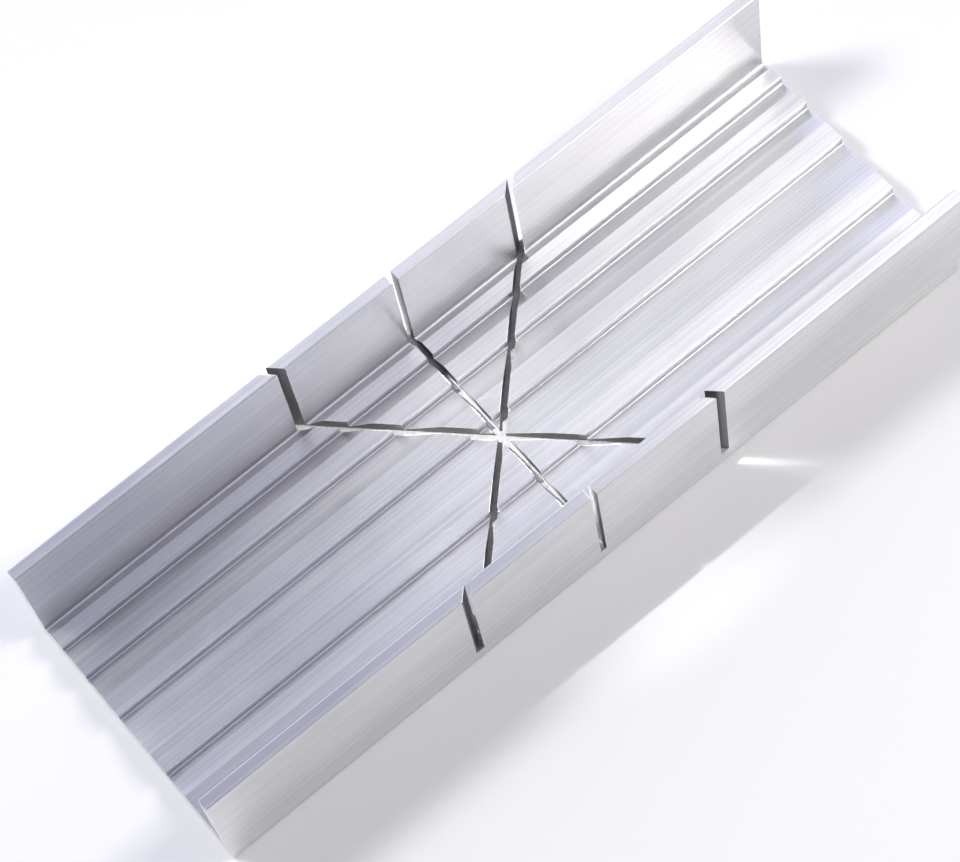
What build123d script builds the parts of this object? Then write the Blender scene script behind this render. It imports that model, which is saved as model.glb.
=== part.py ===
"""Small aluminium mitre box: one extruded channel with three saw guides cut through it.

The channel runs along X, its back wall is on +Y and +Z is up. The origin is the
middle of the underside. All sizes are in millimetres.
"""

import os

from build123d import *

# Extruded channel
LENGTH = 145.0
INSIDE_WIDTH = 44.45
WALL_THICKNESS = 2.1
OVERALL_HEIGHT = 25.4
BASE_THICKNESS = 3.2

# Ribbed floor: flat lands with ramped grooves between them
LAND_HEIGHT = 2.4
GROOVE_FLOOR_HEIGHT = 0.5
FOOT_RELIEF_WIDTH = 2.2
# Each groove: distance of its upright side from the back wall, and the width of its ramp
GROOVES = [(4.8, 2.8), (10.8, 4.6), (19.2, 8.0), (31.0, 4.8)]

# Saw guides: straight cuts that cross in the middle of the floor
GUIDE_WIDTH = 1.1
GUIDE_FLOOR_HEIGHT = 0.15
GUIDE_ANGLES = [-45, 0, 45]

# Edge rounding
WALL_TOP_RADIUS = 0.25
OUTER_CORNER_RADIUS = 0.5
LAND_EDGE_RADIUS = 0.15
GROOVE_ROOT_RADIUS = 0.2
END_CHAMFER = 0.1

INSIDE_Y = INSIDE_WIDTH / 2
OUTSIDE_Y = INSIDE_Y + WALL_THICKNESS
LAND_Z = BASE_THICKNESS + LAND_HEIGHT
GROOVE_Z = BASE_THICKNESS + GROOVE_FLOOR_HEIGHT
# Long enough for a 45 degree guide to pass right through both walls
GUIDE_CUT_LENGTH = 4 * OUTSIDE_Y


def land_edges():
    """Upper corner of each groove's upright side, as (y, z) points."""
    return [(INSIDE_Y - distance, LAND_Z) for distance, _ in GROOVES]


def groove_roots():
    """Lowest corner of each groove, as (y, z) points."""
    return [(INSIDE_Y - distance, GROOVE_Z) for distance, _ in GROOVES]


def ramp_tops():
    """Point where each groove's ramp meets the next land, as (y, z) points."""
    return [(INSIDE_Y - distance - width, LAND_Z) for distance, width in GROOVES]


def floor_points():
    """Top of the floor from the back wall's foot to the front wall's foot."""
    points = [(INSIDE_Y, BASE_THICKNESS), (INSIDE_Y - FOOT_RELIEF_WIDTH, LAND_Z)]
    for edge, root, top in zip(land_edges(), groove_roots(), ramp_tops()):
        points += [edge, root, top]
    points += [(FOOT_RELIEF_WIDTH - INSIDE_Y, LAND_Z), (-INSIDE_Y, BASE_THICKNESS)]
    return points


def round_corners(section, places, radius):
    """Round the corners of the section that lie at the given (y, z) places."""
    corners = [section.vertices().sort_by_distance((y, z, 0))[0] for y, z in places]
    return fillet(corners, radius)


def channel_section():
    """Cross-section of the extrusion, drawn with Y across and Z up."""
    outline = [
        (-OUTSIDE_Y, 0),
        (OUTSIDE_Y, 0),
        (OUTSIDE_Y, OVERALL_HEIGHT),
        (INSIDE_Y, OVERALL_HEIGHT),
        *floor_points(),
        (-INSIDE_Y, OVERALL_HEIGHT),
        (-OUTSIDE_Y, OVERALL_HEIGHT),
    ]
    section = make_face(Polyline(*outline, close=True))
    wall_tops = [(side * y, OVERALL_HEIGHT) for side in (-1, 1) for y in (INSIDE_Y, OUTSIDE_Y)]
    section = round_corners(section, wall_tops, WALL_TOP_RADIUS)
    section = round_corners(section, [(-OUTSIDE_Y, 0), (OUTSIDE_Y, 0)], OUTER_CORNER_RADIUS)
    section = round_corners(section, land_edges(), LAND_EDGE_RADIUS)
    section = round_corners(section, groove_roots(), GROOVE_ROOT_RADIUS)
    return section


def channel():
    """The extrusion at full length, with its sawn ends lightly chamfered."""
    body = extrude(Plane.YZ * channel_section(), LENGTH / 2, both=True)
    ends = body.faces().sort_by(Axis.X)
    end_edges = ends[0].edges() + ends[-1].edges()
    return chamfer(end_edges, END_CHAMFER)


def saw_guide(angle):
    """Solid of the metal that one saw guide removes, from the guide's floor upwards."""
    size = (GUIDE_WIDTH, GUIDE_CUT_LENGTH, OVERALL_HEIGHT)
    cut = Box(*size, align=(Align.CENTER, Align.CENTER, Align.MIN))
    return Pos(0, 0, BASE_THICKNESS + GUIDE_FLOOR_HEIGHT) * Rot(0, 0, angle) * cut


def mitre_box_channel():
    """The whole mitre box: the channel less its three saw guides."""
    body = channel()
    for angle in GUIDE_ANGLES:
        body -= saw_guide(angle)
    return body


os.makedirs("parts", exist_ok=True)
body = mitre_box_channel()
body.label = "mitre_box_channel"
export_step(body, "parts/mitre_box_channel.step")
print("volume", round(body.volume, 1), "size", body.bounding_box().size)
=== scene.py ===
"""Small extruded aluminium mitre box, as one finely detailed mesh on a pale floor.

The mesh repeats the CAD channel at the same place and size, and adds what the metal shows up
close: die lines along the extrusion, rough saw cuts, and the burr that the saw leaves.
"""

import math
import random

import bmesh
import bpy
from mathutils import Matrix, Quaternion, Vector, noise


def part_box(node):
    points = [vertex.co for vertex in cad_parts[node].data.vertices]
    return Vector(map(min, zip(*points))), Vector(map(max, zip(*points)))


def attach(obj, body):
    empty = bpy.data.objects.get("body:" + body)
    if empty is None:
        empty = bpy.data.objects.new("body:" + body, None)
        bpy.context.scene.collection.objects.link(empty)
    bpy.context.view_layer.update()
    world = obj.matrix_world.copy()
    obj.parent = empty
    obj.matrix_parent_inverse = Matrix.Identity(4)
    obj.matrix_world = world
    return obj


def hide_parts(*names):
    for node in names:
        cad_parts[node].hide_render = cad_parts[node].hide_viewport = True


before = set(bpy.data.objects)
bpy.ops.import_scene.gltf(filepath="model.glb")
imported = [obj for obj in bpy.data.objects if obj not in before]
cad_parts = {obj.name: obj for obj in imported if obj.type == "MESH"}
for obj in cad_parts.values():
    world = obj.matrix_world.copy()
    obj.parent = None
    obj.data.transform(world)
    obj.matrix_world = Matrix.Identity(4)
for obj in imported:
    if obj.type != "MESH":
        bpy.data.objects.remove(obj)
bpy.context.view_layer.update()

NODE = "mitre_box_channel"
BODY = "root"
MM = 0.001

# The metals a face can be given, by number. A new face has number 0, the extruded surface.
SAWN, SLOTTED, TORN = 1, 2, 3

# An edge that turns by more degrees than this stays sharp
SHARP_ANGLE = 30

# Overall size, from the frame, in millimetres
LOW, HIGH = [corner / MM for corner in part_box(NODE)]
LENGTH = HIGH.x - LOW.x
OUTSIDE_Y = HIGH.y
HEIGHT = HIGH.z

# The channel's section, in millimetres. A groove is given by how far its upright side is from
# the back wall, and by how wide its ramp is.
WALL = 2.1
BASE = 3.2
LAND_Z = BASE + 2.4
GROOVE_Z = BASE + 0.5
FOOT_RELIEF = 2.2
INSIDE_Y = OUTSIDE_Y - WALL
GROOVES = [(4.8, 2.8), (10.8, 4.6), (19.2, 8.0), (31.0, 4.8)]
WALL_TOP_RADIUS = 0.25
OUTER_CORNER_RADIUS = 0.5
LAND_EDGE_RADIUS = 0.15
RAMP_TOP_RADIUS = 0.2
GROOVE_ROOT_RADIUS = 0.2
FOOT_RADIUS = 0.3

# The ends' edges are broken by a file: from least to most, and over what length that changes
END_CHAMFER = (0.05, 0.14)
END_WEAR_LENGTH = 2.5

# Saw guides, in millimetres and degrees. The reach, from the middle to a cut's end, is enough
# to pass through a wall at 45 degrees.
GUIDE_WIDTH = 1.1
GUIDE_Z = BASE + 0.15
GUIDE_ANGLES = (-45, 0, 45)
GUIDE_REACH = 1.6 * OUTSIDE_Y

# A guide's sides have rows of points along it and up it, which are finer near its floor
GUIDE_STEP = 0.4
FINE_RISE = 0.25
FINE_HEIGHT = 3
COARSE_RISE = 1.5

# The saw's slow wander, and its chatter along the sides, up the sides and along the floor
WANDER = 0.03
WANDER_LENGTH = 9
CHATTER = 0.02
SIDE_CHATTER_LENGTH = 0.9
SIDE_CHATTER_HEIGHT = 2
FLOOR_CHATTER_LENGTH = 1.5

# The burr that the saw throws up along both edges of a guide, in millimetres. It stands in
# grains, and in longer patches. The cover is how much of each is left standing, from 0 to 1.
BURR_WIDTH = 0.10
BURR_CREST = 0.3 * BURR_WIDTH
BURR_HEIGHT = 0.07
BURR_SUNK = 0.02
BURR_GRAIN = 0.35
BURR_GRAIN_COVER = 0.45
BURR_PATCH = 4
BURR_PATCH_COVER = 0.6

# Die lines: fine scores that run the whole length of an extrusion, in millimetres, with their
# widths and depths from least to most. The surface between them waves slightly too.
OUTLINE_STEP = 0.1
SCORE_SPACING = 1.1
SCORE_WIDTHS = (0.12, 0.45)
SCORE_DEPTHS = (0.001, 0.009)
WAVE_LENGTH = 5.0
WAVE_DEPTH = 0.012
OUTLINE_SEED = 3

# Metal: the darkest and the lightest tone of each surface
EXTRUDED_TONES = ((0.74, 0.742, 0.755), (0.90, 0.90, 0.905))
SAWN_TONES = ((0.72, 0.72, 0.73), (0.90, 0.90, 0.90))
# The saw guides' tones are painted dark: painted shade for the depth of the narrow slots
SLOTTED_SHADED_TONES = ((0.22, 0.22, 0.225), (0.34, 0.34, 0.34))
TORN_TONES = ((0.80, 0.80, 0.81), (0.93, 0.93, 0.93))
# Painted shade: the colour that the groove risers facing the front are darkened towards
RISER_SHADE = (0.40, 0.40, 0.42)

# Middles of the round saws that cut the ends and the guides, in millimetres
END_SAW = (0, 60, -70)
GUIDE_SAW = (0, 0, 55)

# Camera, in millimetres and degrees
CAMERA_AT = (-99.36, -193.05, 515.01)
CAMERA_LOOK = (0.17539, 0.35280, -0.91912)
CAMERA_ROLL = -14.06
CAMERA_LENS = 135.2
CAMERA_SENSOR = 36

# Floor, in metres: a sheet just below the channel
FLOOR_SIZE = 6
FLOOR_Z = -0.00002
PAPER = (0.9, 0.9, 0.9, 1)
PAPER_ROUGHNESS = 0.9

# Light: the world's glows as (towards, focus, strength, colour), in the order overhead,
# back, right end and left end
WORLD_GLOWS = [
    ((0.15, -0.35, 0.92), 10, 0.82, (0.90, 0.91, 1.24)),
    ((0, 1, 0.15), 3, 1.5, (0.88, 0.90, 1.16)),
    ((1, 0, 0.35), 5, 0.65, (1, 1, 1)),
    ((-1, 0, 0.35), 5, 0.55, (1, 1, 1)),
]

# Soft panels as (name, place, target, size, power, colour), in metres and watts
PANELS = [
    ("key", (-0.27, 0.27, 0.545), (0, 0, 0), (0.14, 0.14), 2.0, (1, 1, 1)),
    ("front_panel", (0.30, -0.20, 0.50), (0.30, -0.20, 0), (0.30, 0.12), 1.6, (1.06, 1.02, 0.94)),
    ("back_panel", (0.14, 0.32, 0.45), (0.14, 0.32, 0), (0.16, 0.30), 0.13, (1, 1, 0.95)),
]

# A snooted lamp that shines along the guide from the back left, in metres, watts and degrees
SNOOT_AT = (-0.24, 0.24, 0.58)
SNOOT_TARGET = (-0.003, 0.003, 0.005)
SNOOT_POWER = 44
SNOOT_CONE = 4.8
SNOOT_BLEND = 0.4
SNOOT_RADIUS = 0.02


# ---------------------------------------------------------------- section

def section_corners():
    """Corners of the channel's section as (y, z, radius), with +Y the back wall."""
    corners = [
        (-OUTSIDE_Y, 0, OUTER_CORNER_RADIUS),
        (OUTSIDE_Y, 0, OUTER_CORNER_RADIUS),
        (OUTSIDE_Y, HEIGHT, WALL_TOP_RADIUS),
        (INSIDE_Y, HEIGHT, WALL_TOP_RADIUS),
        (INSIDE_Y, BASE, FOOT_RADIUS),
        (INSIDE_Y - FOOT_RELIEF, LAND_Z, RAMP_TOP_RADIUS),
    ]
    for distance, width in GROOVES:
        corners += [
            (INSIDE_Y - distance, LAND_Z, LAND_EDGE_RADIUS),
            (INSIDE_Y - distance, GROOVE_Z, GROOVE_ROOT_RADIUS),
            (INSIDE_Y - distance - width, LAND_Z, RAMP_TOP_RADIUS),
        ]
    corners += [
        (FOOT_RELIEF - INSIDE_Y, LAND_Z, RAMP_TOP_RADIUS),
        (-INSIDE_Y, BASE, FOOT_RADIUS),
        (-INSIDE_Y, HEIGHT, WALL_TOP_RADIUS),
        (-OUTSIDE_Y, HEIGHT, WALL_TOP_RADIUS),
    ]
    return corners


def rounded(corners, steps=6):
    """The outline with an arc at each corner, as 2-D vectors."""
    points = []
    for i, (y, z, radius) in enumerate(corners):
        corner = Vector((y, z))
        before = (Vector(corners[i - 1][:2]) - corner).normalized()
        after = (Vector(corners[(i + 1) % len(corners)][:2]) - corner).normalized()
        half = before.angle(after) / 2
        reach = radius / math.tan(half)
        centre = corner + (before + after).normalized() * (radius / math.sin(half))
        start = corner + before * reach - centre
        turn = start.angle_signed(corner + after * reach - centre)
        for k in range(steps + 1):
            angle = -turn * k / steps
            points.append(centre + Vector((
                start.x * math.cos(angle) - start.y * math.sin(angle),
                start.x * math.sin(angle) + start.y * math.cos(angle),
            )))
    return points


def spaced(points, step):
    """The closed outline again, with no two points further apart than step."""
    out = []
    for a, b in zip(points, points[1:] + points[:1]):
        count = max(1, math.ceil((b - a).length / step))
        out += [a.lerp(b, k / count) for k in range(count)]
    return out


def inwards(points, i):
    """The unit vector into the metal at one point of an outline."""
    tangent = points[(i + 1) % len(points)] - points[i - 1]
    return Vector((-tangent.y, tangent.x)).normalized()


def scored(points, seed):
    """The outline pressed inwards by the die's scores and by its slow waviness."""
    draw = random.Random(seed)
    along = [0.0]
    for a, b in zip(points, points[1:] + points[:1]):
        along.append(along[-1] + (b - a).length)
    total = along[-1]
    depth = [
        WAVE_DEPTH * (0.5 + 0.5 * noise.noise(Vector((s / WAVE_LENGTH, seed, 0))))
        for s in along[:-1]
    ]
    for _ in range(int(total / SCORE_SPACING)):
        middle = draw.uniform(0, total)
        width = draw.uniform(*SCORE_WIDTHS)
        deep = draw.uniform(*SCORE_DEPTHS) * draw.random()
        for i, s in enumerate(along[:-1]):
            off = abs(s - middle) / width
            if off < 1:
                depth[i] += deep * (0.5 + 0.5 * math.cos(math.pi * off))
    out = []
    for i, point in enumerate(points):
        out.append(point + inwards(points, i) * depth[i])
    return out


# ---------------------------------------------------------------- solids

def mesh_object(name, vertices, faces, materials):
    """A new object whose mesh is given in millimetres."""
    mesh = bpy.data.meshes.new(name)
    mesh.from_pydata([[c * MM for c in v] for v in vertices], [], faces)
    for material in materials:
        mesh.materials.append(material)
    piece = bpy.data.objects.new(name, mesh)
    bpy.context.scene.collection.objects.link(piece)
    return piece


def lofted(name, loops, materials):
    """A closed solid through loops of points: quads between the loops, and a cap at each end."""
    count = len(loops[0])
    vertices = [v for loop in loops for v in loop]
    faces = []
    for k in range(len(loops) - 1):
        base = k * count
        for i in range(count):
            j = (i + 1) % count
            faces.append((base + i, base + j, base + count + j, base + count + i))
    faces.append(tuple(reversed(range(count))))
    faces.append(tuple(range(len(vertices) - count, len(vertices))))
    return mesh_object(name, vertices, faces, materials)


def paint(faces, metal):
    """Gives some faces one of the metals, by number."""
    for face in faces:
        face.material_index = metal


def extrusion(outline, materials):
    """The channel before it is slotted, with each end's edge broken unevenly by a file."""
    least, most = END_CHAMFER
    loops = []
    for end in (-1, 1):
        face, side = [], []
        for i, point in enumerate(outline):
            # The third number makes the wear differ between the two ends
            wear = noise.noise(Vector((*(point / END_WEAR_LENGTH), 7 * end)))
            broken = least + (most - least) * (0.5 + 0.5 * wear)
            drawn = point + inwards(outline, i) * broken
            face.append((end * LENGTH / 2, drawn.x, drawn.y))
            side.append((end * (LENGTH / 2 - broken), point.x, point.y))
        loops += [face, side] if end < 0 else [side, face]
    piece = lofted("mitre_box_body", loops, materials)
    paint(list(piece.data.polygons)[-2:], SAWN)
    return piece


def on_guide(angle, across, y):
    """The x where a line beside a guide's middle, at that distance from it, has that y."""
    turn = math.radians(angle)
    return (across - y * math.sin(turn)) / math.cos(turn)


def burr(outline, angle, materials):
    """A slice of the channel round one guide, proud of its surface by an uneven burr."""
    edge = GUIDE_WIDTH / 2
    stations = [
        (-edge - BURR_WIDTH, False),
        (-edge - BURR_CREST, True),
        (edge + BURR_CREST, True),
        (edge + BURR_WIDTH, False),
    ]
    loops = []
    for across, proud in stations:
        loop = []
        for i, point in enumerate(outline):
            # The third number makes the noise differ from edge to edge and from guide to guide
            grain = noise.noise(Vector((*(point / BURR_GRAIN), across * 9 + angle)))
            patch = noise.noise(Vector((*(point / BURR_PATCH), across * 3 + angle)))
            height = BURR_HEIGHT * max(0, BURR_GRAIN_COVER + grain) * max(0, BURR_PATCH_COVER + patch)
            cut_here = point.y > GUIDE_Z
            rise = height if proud and cut_here else -BURR_SUNK
            at = point - inwards(outline, i) * rise
            y = max(-OUTSIDE_Y, min(OUTSIDE_Y, at.x))
            z = min(HEIGHT, at.y)
            loop.append((on_guide(angle, across, y), y, z))
        loops.append(loop)
    piece = lofted("burr", loops, materials)
    paint(piece.data.polygons, TORN)
    return piece


def guide_levels():
    """Heights of the rows of points up a guide's sides, from its floor to above the walls."""
    above = GUIDE_Z + FINE_HEIGHT
    fine_count = round(FINE_HEIGHT / FINE_RISE)
    coarse_count = math.ceil((HEIGHT - above) / COARSE_RISE) + 1
    fine = [GUIDE_Z + FINE_RISE * k for k in range(fine_count)]
    return fine + [above + COARSE_RISE * k for k in range(coarse_count)]


def guide_cutter(angle, materials):
    """The metal that one saw guide takes away, with the saw's wander and chatter on its sides."""
    turn = Quaternion((0, 0, 1), math.radians(angle))
    stations = round(2 * GUIDE_REACH / GUIDE_STEP)
    levels = guide_levels()
    loops = []
    for s in range(stations + 1):
        along = GUIDE_REACH * (2 * s / stations - 1)
        wander = WANDER * noise.noise(Vector((along / WANDER_LENGTH, angle, 5)))
        sink = CHATTER * noise.noise(Vector((along / FLOOR_CHATTER_LENGTH, angle, 8)))
        loop = []
        for side in (-1, 1):
            for z in levels if side == -1 else reversed(levels):
                spot = Vector((along / SIDE_CHATTER_LENGTH, z / SIDE_CHATTER_HEIGHT, side + angle))
                across = side * (GUIDE_WIDTH / 2 + CHATTER * noise.noise(spot)) + wander
                loop.append(turn @ Vector((across, along, z + sink)))
        loops.append(loop)
    piece = lofted("guide", loops, materials)
    paint(piece.data.polygons, SLOTTED)
    return piece


def combine(piece, tools, operation):
    """Adds the tools to the piece, or takes them out of it, one by one."""
    for tool in tools:
        step = piece.modifiers.new("combine", "BOOLEAN")
        step.operation = operation
        step.solver = "MANIFOLD"
        step.object = tool
        bpy.context.view_layer.update()
        shape = piece.evaluated_get(bpy.context.evaluated_depsgraph_get())
        mesh = bpy.data.meshes.new_from_object(shape)
        piece.modifiers.clear()
        piece.data = mesh
        bpy.data.objects.remove(tool)


def shade(piece):
    """Smooth shading, with sharp edges at corners and wherever one metal meets another."""
    shape = bmesh.new()
    shape.from_mesh(piece.data)
    for face in shape.faces:
        face.smooth = True
    for edge in shape.edges:
        one, other = edge.link_faces
        corner = one.normal.angle(other.normal, 0) > math.radians(SHARP_ANGLE)
        edge.smooth = not (corner or one.material_index != other.material_index)
    shape.to_mesh(piece.data)
    shape.free()


# ---------------------------------------------------------------- materials

# The Mix node's colour sockets, which share their names with its other kinds of socket
COLOUR_A, COLOUR_B, COLOUR_RESULT = 6, 7, 2


class Graph:
    """One material's nodes, with short calls for the few kinds that the metal needs."""

    def __init__(self, name):
        self.material = bpy.data.materials.new(name)
        self.material.use_nodes = True
        self.tree = self.material.node_tree
        self.shader = self.tree.nodes["Principled BSDF"]

    def put(self, node, name, value):
        """Links a socket to an input, or sets a plain value on it. Colours come without alpha."""
        target = node.inputs[name]
        if isinstance(value, bpy.types.NodeSocket):
            self.tree.links.new(value, target)
        elif target.type == "RGBA":
            target.default_value = (*value, 1)
        else:
            target.default_value = value

    def math(self, operation, *values):
        node = self.tree.nodes.new("ShaderNodeMath")
        node.operation = operation
        for i, value in enumerate(values):
            self.put(node, i, value)
        return node.outputs[0]

    def vector(self, operation, *values):
        node = self.tree.nodes.new("ShaderNodeVectorMath")
        node.operation = operation
        for i, value in enumerate(values):
            self.put(node, i, value)
        return node.outputs["Value" if operation == "LENGTH" else "Vector"]

    def place(self):
        """Where a point of the object is, in millimetres."""
        node = self.tree.nodes.new("ShaderNodeTexCoord")
        return self.vector("MULTIPLY", node.outputs["Object"], (1 / MM, 1 / MM, 1 / MM))

    def normal(self):
        """The surface's true normal, in the frame's axes."""
        return self.tree.nodes.new("ShaderNodeNewGeometry").outputs["Normal"]

    def part(self, vector, axis):
        """One of a vector's three numbers, by its letter."""
        node = self.tree.nodes.new("ShaderNodeSeparateXYZ")
        self.put(node, "Vector", vector)
        return node.outputs[axis]

    def turned(self, where, degrees):
        """Places turned about the origin by angles round X, Y and Z."""
        node = self.tree.nodes.new("ShaderNodeVectorRotate")
        node.rotation_type = "EULER_XYZ"
        self.put(node, "Vector", where)
        self.put(node, "Rotation", [math.radians(d) for d in degrees])
        return node.outputs[0]

    def noise(self, where, per_mm, detail):
        """Noise from 0 to 1, with that many features to the millimetre along X, Y and Z."""
        node = self.tree.nodes.new("ShaderNodeTexNoise")
        self.put(node, "Vector", self.vector("MULTIPLY", where, per_mm))
        self.put(node, "Scale", 1.0)
        self.put(node, "Detail", detail)
        return node.outputs["Fac"]

    def ranged(self, value, low, high, to_low=0.0, to_high=1.0):
        """A number that eases from one value to another as the given one goes from low to high."""
        node = self.tree.nodes.new("ShaderNodeMapRange")
        node.interpolation_type = "SMOOTHSTEP"
        self.put(node, "From Min", low)
        self.put(node, "From Max", high)
        self.put(node, "To Min", to_low)
        self.put(node, "To Max", to_high)
        self.put(node, "Value", value)
        return node.outputs[0]

    def total(self, *parts):
        """The sum of (value, weight) pairs."""
        out = 0.0
        for value, weight in parts:
            out = self.math("MULTIPLY_ADD", value, weight, out)
        return out

    def product(self, *values):
        out = 1.0
        for value in values:
            out = self.math("MULTIPLY", out, value)
        return out

    def on_x(self, x):
        """A vector with that x, for a pattern that changes with one number alone."""
        node = self.tree.nodes.new("ShaderNodeCombineXYZ")
        self.put(node, "X", x)
        return node.outputs[0]

    def colour(self, amount, low, high):
        """A colour that goes from the low one to the high one as the amount goes from 0 to 1."""
        node = self.tree.nodes.new("ShaderNodeMix")
        node.data_type = "RGBA"
        self.put(node, "Factor", amount)
        self.put(node, COLOUR_A, low)
        self.put(node, COLOUR_B, high)
        return node.outputs[COLOUR_RESULT]

    def metal(self, colour, roughness):
        """Makes the surface bare metal."""
        self.put(self.shader, "Base Color", colour)
        self.put(self.shader, "Metallic", 1.0)
        self.put(self.shader, "Roughness", roughness)

    def bump(self, height, depth_mm):
        node = self.tree.nodes.new("ShaderNodeBump")
        self.put(node, "Strength", 1.0)
        self.put(node, "Distance", depth_mm * MM)
        self.put(node, "Height", height)
        self.put(self.shader, "Normal", node.outputs[0])

    def scratches(self, where, degrees, per_mm, width):
        """Thin lines along a direction, broken up so that each is a few millimetres long."""
        lying = self.turned(where, degrees)
        field = self.noise(lying, per_mm, 1.0)
        line = self.ranged(self.math("ABSOLUTE", self.math("SUBTRACT", field, 0.5)), 0, width, 1, 0)
        here = self.ranged(self.noise(lying, (0.11, 0.11, 0.11), 1.0), 0.55, 0.66)
        return self.math("MULTIPLY", line, here)


def painted_riser_shade(graph, place, normal, bloom):
    """How much painted shade a point gets: only the low faces inside the channel that look to the
    front get it.
    """
    upright = graph.ranged(graph.part(normal, "Y"), -0.9, -0.3, 1, 0)
    low = graph.ranged(graph.part(place, "Z"), GROOVE_Z + 0.3, LAND_Z + 0.2, 1, 0)
    inside = graph.ranged(graph.part(place, "Y"), 0.1 - OUTSIDE_Y, 0.2 - INSIDE_Y)
    patchy = graph.ranged(bloom, 0.2, 0.6, 0.7, 1)
    return graph.product(upright, low, inside, patchy)


def extruded_aluminium():
    """Mill finish: streaks from the die, a dull bloom, a few handling scratches, and painted shade on
    the risers that face the front.
    """
    graph = Graph("aluminium_extruded")
    place = graph.place()
    streaks = graph.noise(place, (0.010, 2.6, 2.6), 3.0)
    hairlines = graph.noise(place, (0.020, 11.0, 11.0), 1.0)
    bloom = graph.noise(place, (0.035, 0.10, 0.10), 4.0)
    grain = graph.noise(place, (5.0, 8.0, 8.0), 2.0)
    handling = graph.math(
        "MAXIMUM",
        graph.scratches(place, (0, 0, 24), (0.02, 0.9, 0.9), 0.008),
        graph.scratches(place, (17, 9, -31), (0.03, 1.1, 1.1), 0.007),
    )
    normal = graph.normal()
    tone = graph.total((streaks, 0.55), (bloom, 0.35), (grain, 0.15), (hairlines, 0.15))
    clean = graph.colour(graph.ranged(tone, 0.42, 0.78), *EXTRUDED_TONES)
    # Painted shade: the low faces inside the channel that face the front are darkened
    colour = graph.colour(painted_riser_shade(graph, place, normal, bloom), clean, RISER_SHADE)
    graph.metal(colour, graph.total((1.0, 0.23), (streaks, 0.12), (bloom, 0.16), (handling, 0.10)))
    graph.put(graph.shader, "Anisotropic", 0.8)
    graph.put(graph.shader, "Tangent", graph.vector("CROSS_PRODUCT", normal, (1, 0, 0)))
    graph.bump(graph.total((streaks, 0.7), (hairlines, 0.22), (grain, 0.06), (handling, -0.15)), 0.012)
    return graph.material


def sawn_aluminium():
    """The ends: arcs left by a circular saw, crossed by fine file marks."""
    graph = Graph("aluminium_sawn")
    place = graph.place()
    radius = graph.vector("LENGTH", graph.vector("SUBTRACT", place, END_SAW))
    arcs = graph.noise(graph.on_x(radius), (3.2, 1, 1), 3.0)
    grain = graph.noise(place, (6, 6, 6), 3.0)
    tone = graph.total((arcs, 0.7), (grain, 0.4))
    colour = graph.colour(graph.ranged(tone, 0.35, 0.75), *SAWN_TONES)
    graph.metal(colour, graph.total((1.0, 0.28), (arcs, 0.16), (grain, 0.12)))
    graph.bump(graph.total((arcs, 0.8), (grain, 0.3)), 0.02)
    return graph.material


def slotted_aluminium():
    """Inside the saw guides: torn metal with the arcs of the slitting saw, its tones painted dark as
    painted shade for the depth of the narrow slots.
    """
    graph = Graph("aluminium_slotted")
    place = graph.place()
    radius = graph.vector("LENGTH", graph.vector("SUBTRACT", place, GUIDE_SAW))
    arcs = graph.noise(graph.on_x(radius), (4.5, 1, 1), 3.0)
    torn = graph.noise(place, (7, 7, 7), 4.0)
    tone = graph.total((arcs, 0.6), (torn, 0.6))
    # Painted shade: the dark tones stand for the shade down in the slots
    colour = graph.colour(graph.ranged(tone, 0.4, 0.8), *SLOTTED_SHADED_TONES)
    graph.metal(colour, graph.total((1.0, 0.32), (arcs, 0.12), (torn, 0.24)))
    graph.bump(graph.total((arcs, 0.5), (torn, 0.5)), 0.03)
    return graph.material


def torn_aluminium():
    """The burr beside a saw guide: bright metal with no bloom on it."""
    graph = Graph("aluminium_torn")
    place = graph.place()
    grain = graph.noise(place, (4, 4, 4), 3.0)
    colour = graph.colour(graph.ranged(grain, 0.3, 0.7), *TORN_TONES)
    graph.metal(colour, graph.total((1.0, 0.2), (grain, 0.2)))
    graph.bump(grain, 0.02)
    return graph.material


# ---------------------------------------------------------------- stage

def camera():
    """A long lens, from high up and a little to the front left."""
    data = bpy.data.cameras.new("camera")
    data.lens = CAMERA_LENS
    data.sensor_width = CAMERA_SENSOR
    eye = bpy.data.objects.new("camera", data)
    bpy.context.scene.collection.objects.link(eye)
    eye.location = Vector(CAMERA_AT) * MM
    roll = Quaternion((0, 0, 1), math.radians(CAMERA_ROLL))
    eye.rotation_mode = "QUATERNION"
    eye.rotation_quaternion = Vector(CAMERA_LOOK).to_track_quat("-Z", "Y") @ roll
    bpy.context.scene.camera = eye


def aim(name, data, at, target):
    """Puts a lamp in the scene, pointing at its target."""
    lamp = bpy.data.objects.new(name, data)
    bpy.context.scene.collection.objects.link(lamp)
    lamp.location = at
    lamp.rotation_mode = "QUATERNION"
    lamp.rotation_quaternion = (Vector(target) - Vector(at)).to_track_quat("-Z", "Y")


def area_light(name, at, target, size, power, colour):
    data = bpy.data.lights.new(name, "AREA")
    data.shape = "RECTANGLE"
    data.size, data.size_y = size
    data.energy = power
    data.color = colour
    aim(name, data, at, target)


def snoot():
    """A lamp with a narrow, soft-edged cone."""
    data = bpy.data.lights.new("snoot", "SPOT")
    data.energy = SNOOT_POWER
    data.spot_size = math.radians(SNOOT_CONE)
    data.spot_blend = SNOOT_BLEND
    data.shadow_soft_size = SNOOT_RADIUS
    aim("snoot", data, SNOOT_AT, SNOOT_TARGET)


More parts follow.
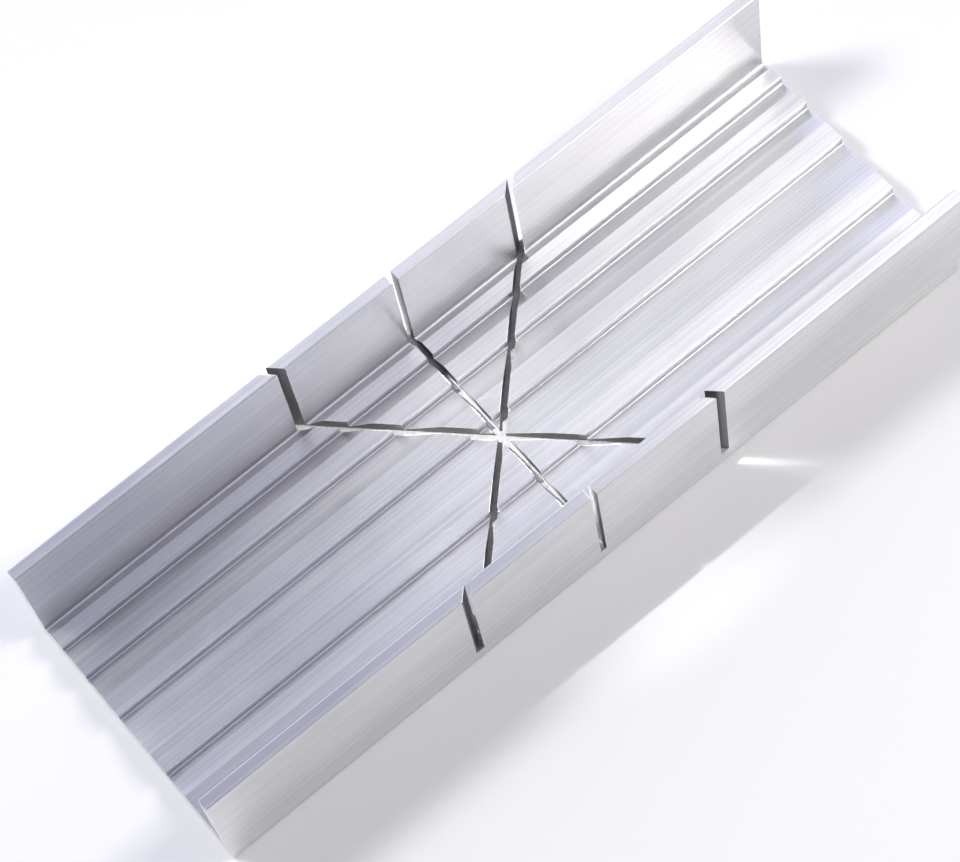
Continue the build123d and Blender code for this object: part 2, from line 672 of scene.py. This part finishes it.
def studio_world():
    """Broad glows in an otherwise dark room, each a lobe round the direction it comes from."""
    world = bpy.data.worlds.new("studio")
    world.use_nodes = True
    nodes, links = world.node_tree.nodes, world.node_tree.links
    place = nodes.new("ShaderNodeTexCoord")
    light = None
    for towards, focus, strength, colour in WORLD_GLOWS:
        facing = nodes.new("ShaderNodeVectorMath")
        facing.operation = "DOT_PRODUCT"
        facing.inputs[1].default_value = Vector(towards).normalized()
        links.new(place.outputs["Generated"], facing.inputs[0])
        front = nodes.new("ShaderNodeMath")
        front.operation = "MAXIMUM"
        front.inputs[1].default_value = 0
        links.new(facing.outputs["Value"], front.inputs[0])
        lobe = nodes.new("ShaderNodeMath")
        lobe.operation = "POWER"
        lobe.inputs[1].default_value = focus
        links.new(front.outputs[0], lobe.inputs[0])
        tinted = nodes.new("ShaderNodeVectorMath")
        tinted.operation = "MULTIPLY_ADD"
        tinted.inputs[1].default_value = [strength * c for c in colour]
        tinted.inputs[2].default_value = (0, 0, 0)
        links.new(lobe.outputs[0], tinted.inputs[0])
        if light:
            links.new(light, tinted.inputs[2])
        light = tinted.outputs[0]
    links.new(light, nodes["Background"].inputs["Color"])
    bpy.context.scene.world = world


def stage():
    """The floor and the light."""
    bpy.ops.mesh.primitive_plane_add(size=FLOOR_SIZE, location=(0, 0, FLOOR_Z))
    floor = bpy.context.object
    floor.name = "floor"
    material = bpy.data.materials.new("paper")
    material.use_nodes = True
    shader = material.node_tree.nodes["Principled BSDF"]
    shader.inputs["Base Color"].default_value = PAPER
    shader.inputs["Roughness"].default_value = PAPER_ROUGHNESS
    floor.data.materials.append(material)
    studio_world()
    for name, at, target, size, power, colour in PANELS:
        area_light(name, at, target, size, power, colour)
    snoot()
    bpy.context.scene.view_settings.view_transform = "Standard"


outline = scored(spaced(rounded(section_corners()), OUTLINE_STEP), OUTLINE_SEED)
metals = [extruded_aluminium(), sawn_aluminium(), slotted_aluminium(), torn_aluminium()]
body = extrusion(outline, metals)
combine(body, [burr(outline, angle, metals) for angle in GUIDE_ANGLES], "UNION")
combine(body, [guide_cutter(angle, metals) for angle in GUIDE_ANGLES], "DIFFERENCE")
shade(body)
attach(body, BODY)
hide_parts(NODE)
camera()
stage()
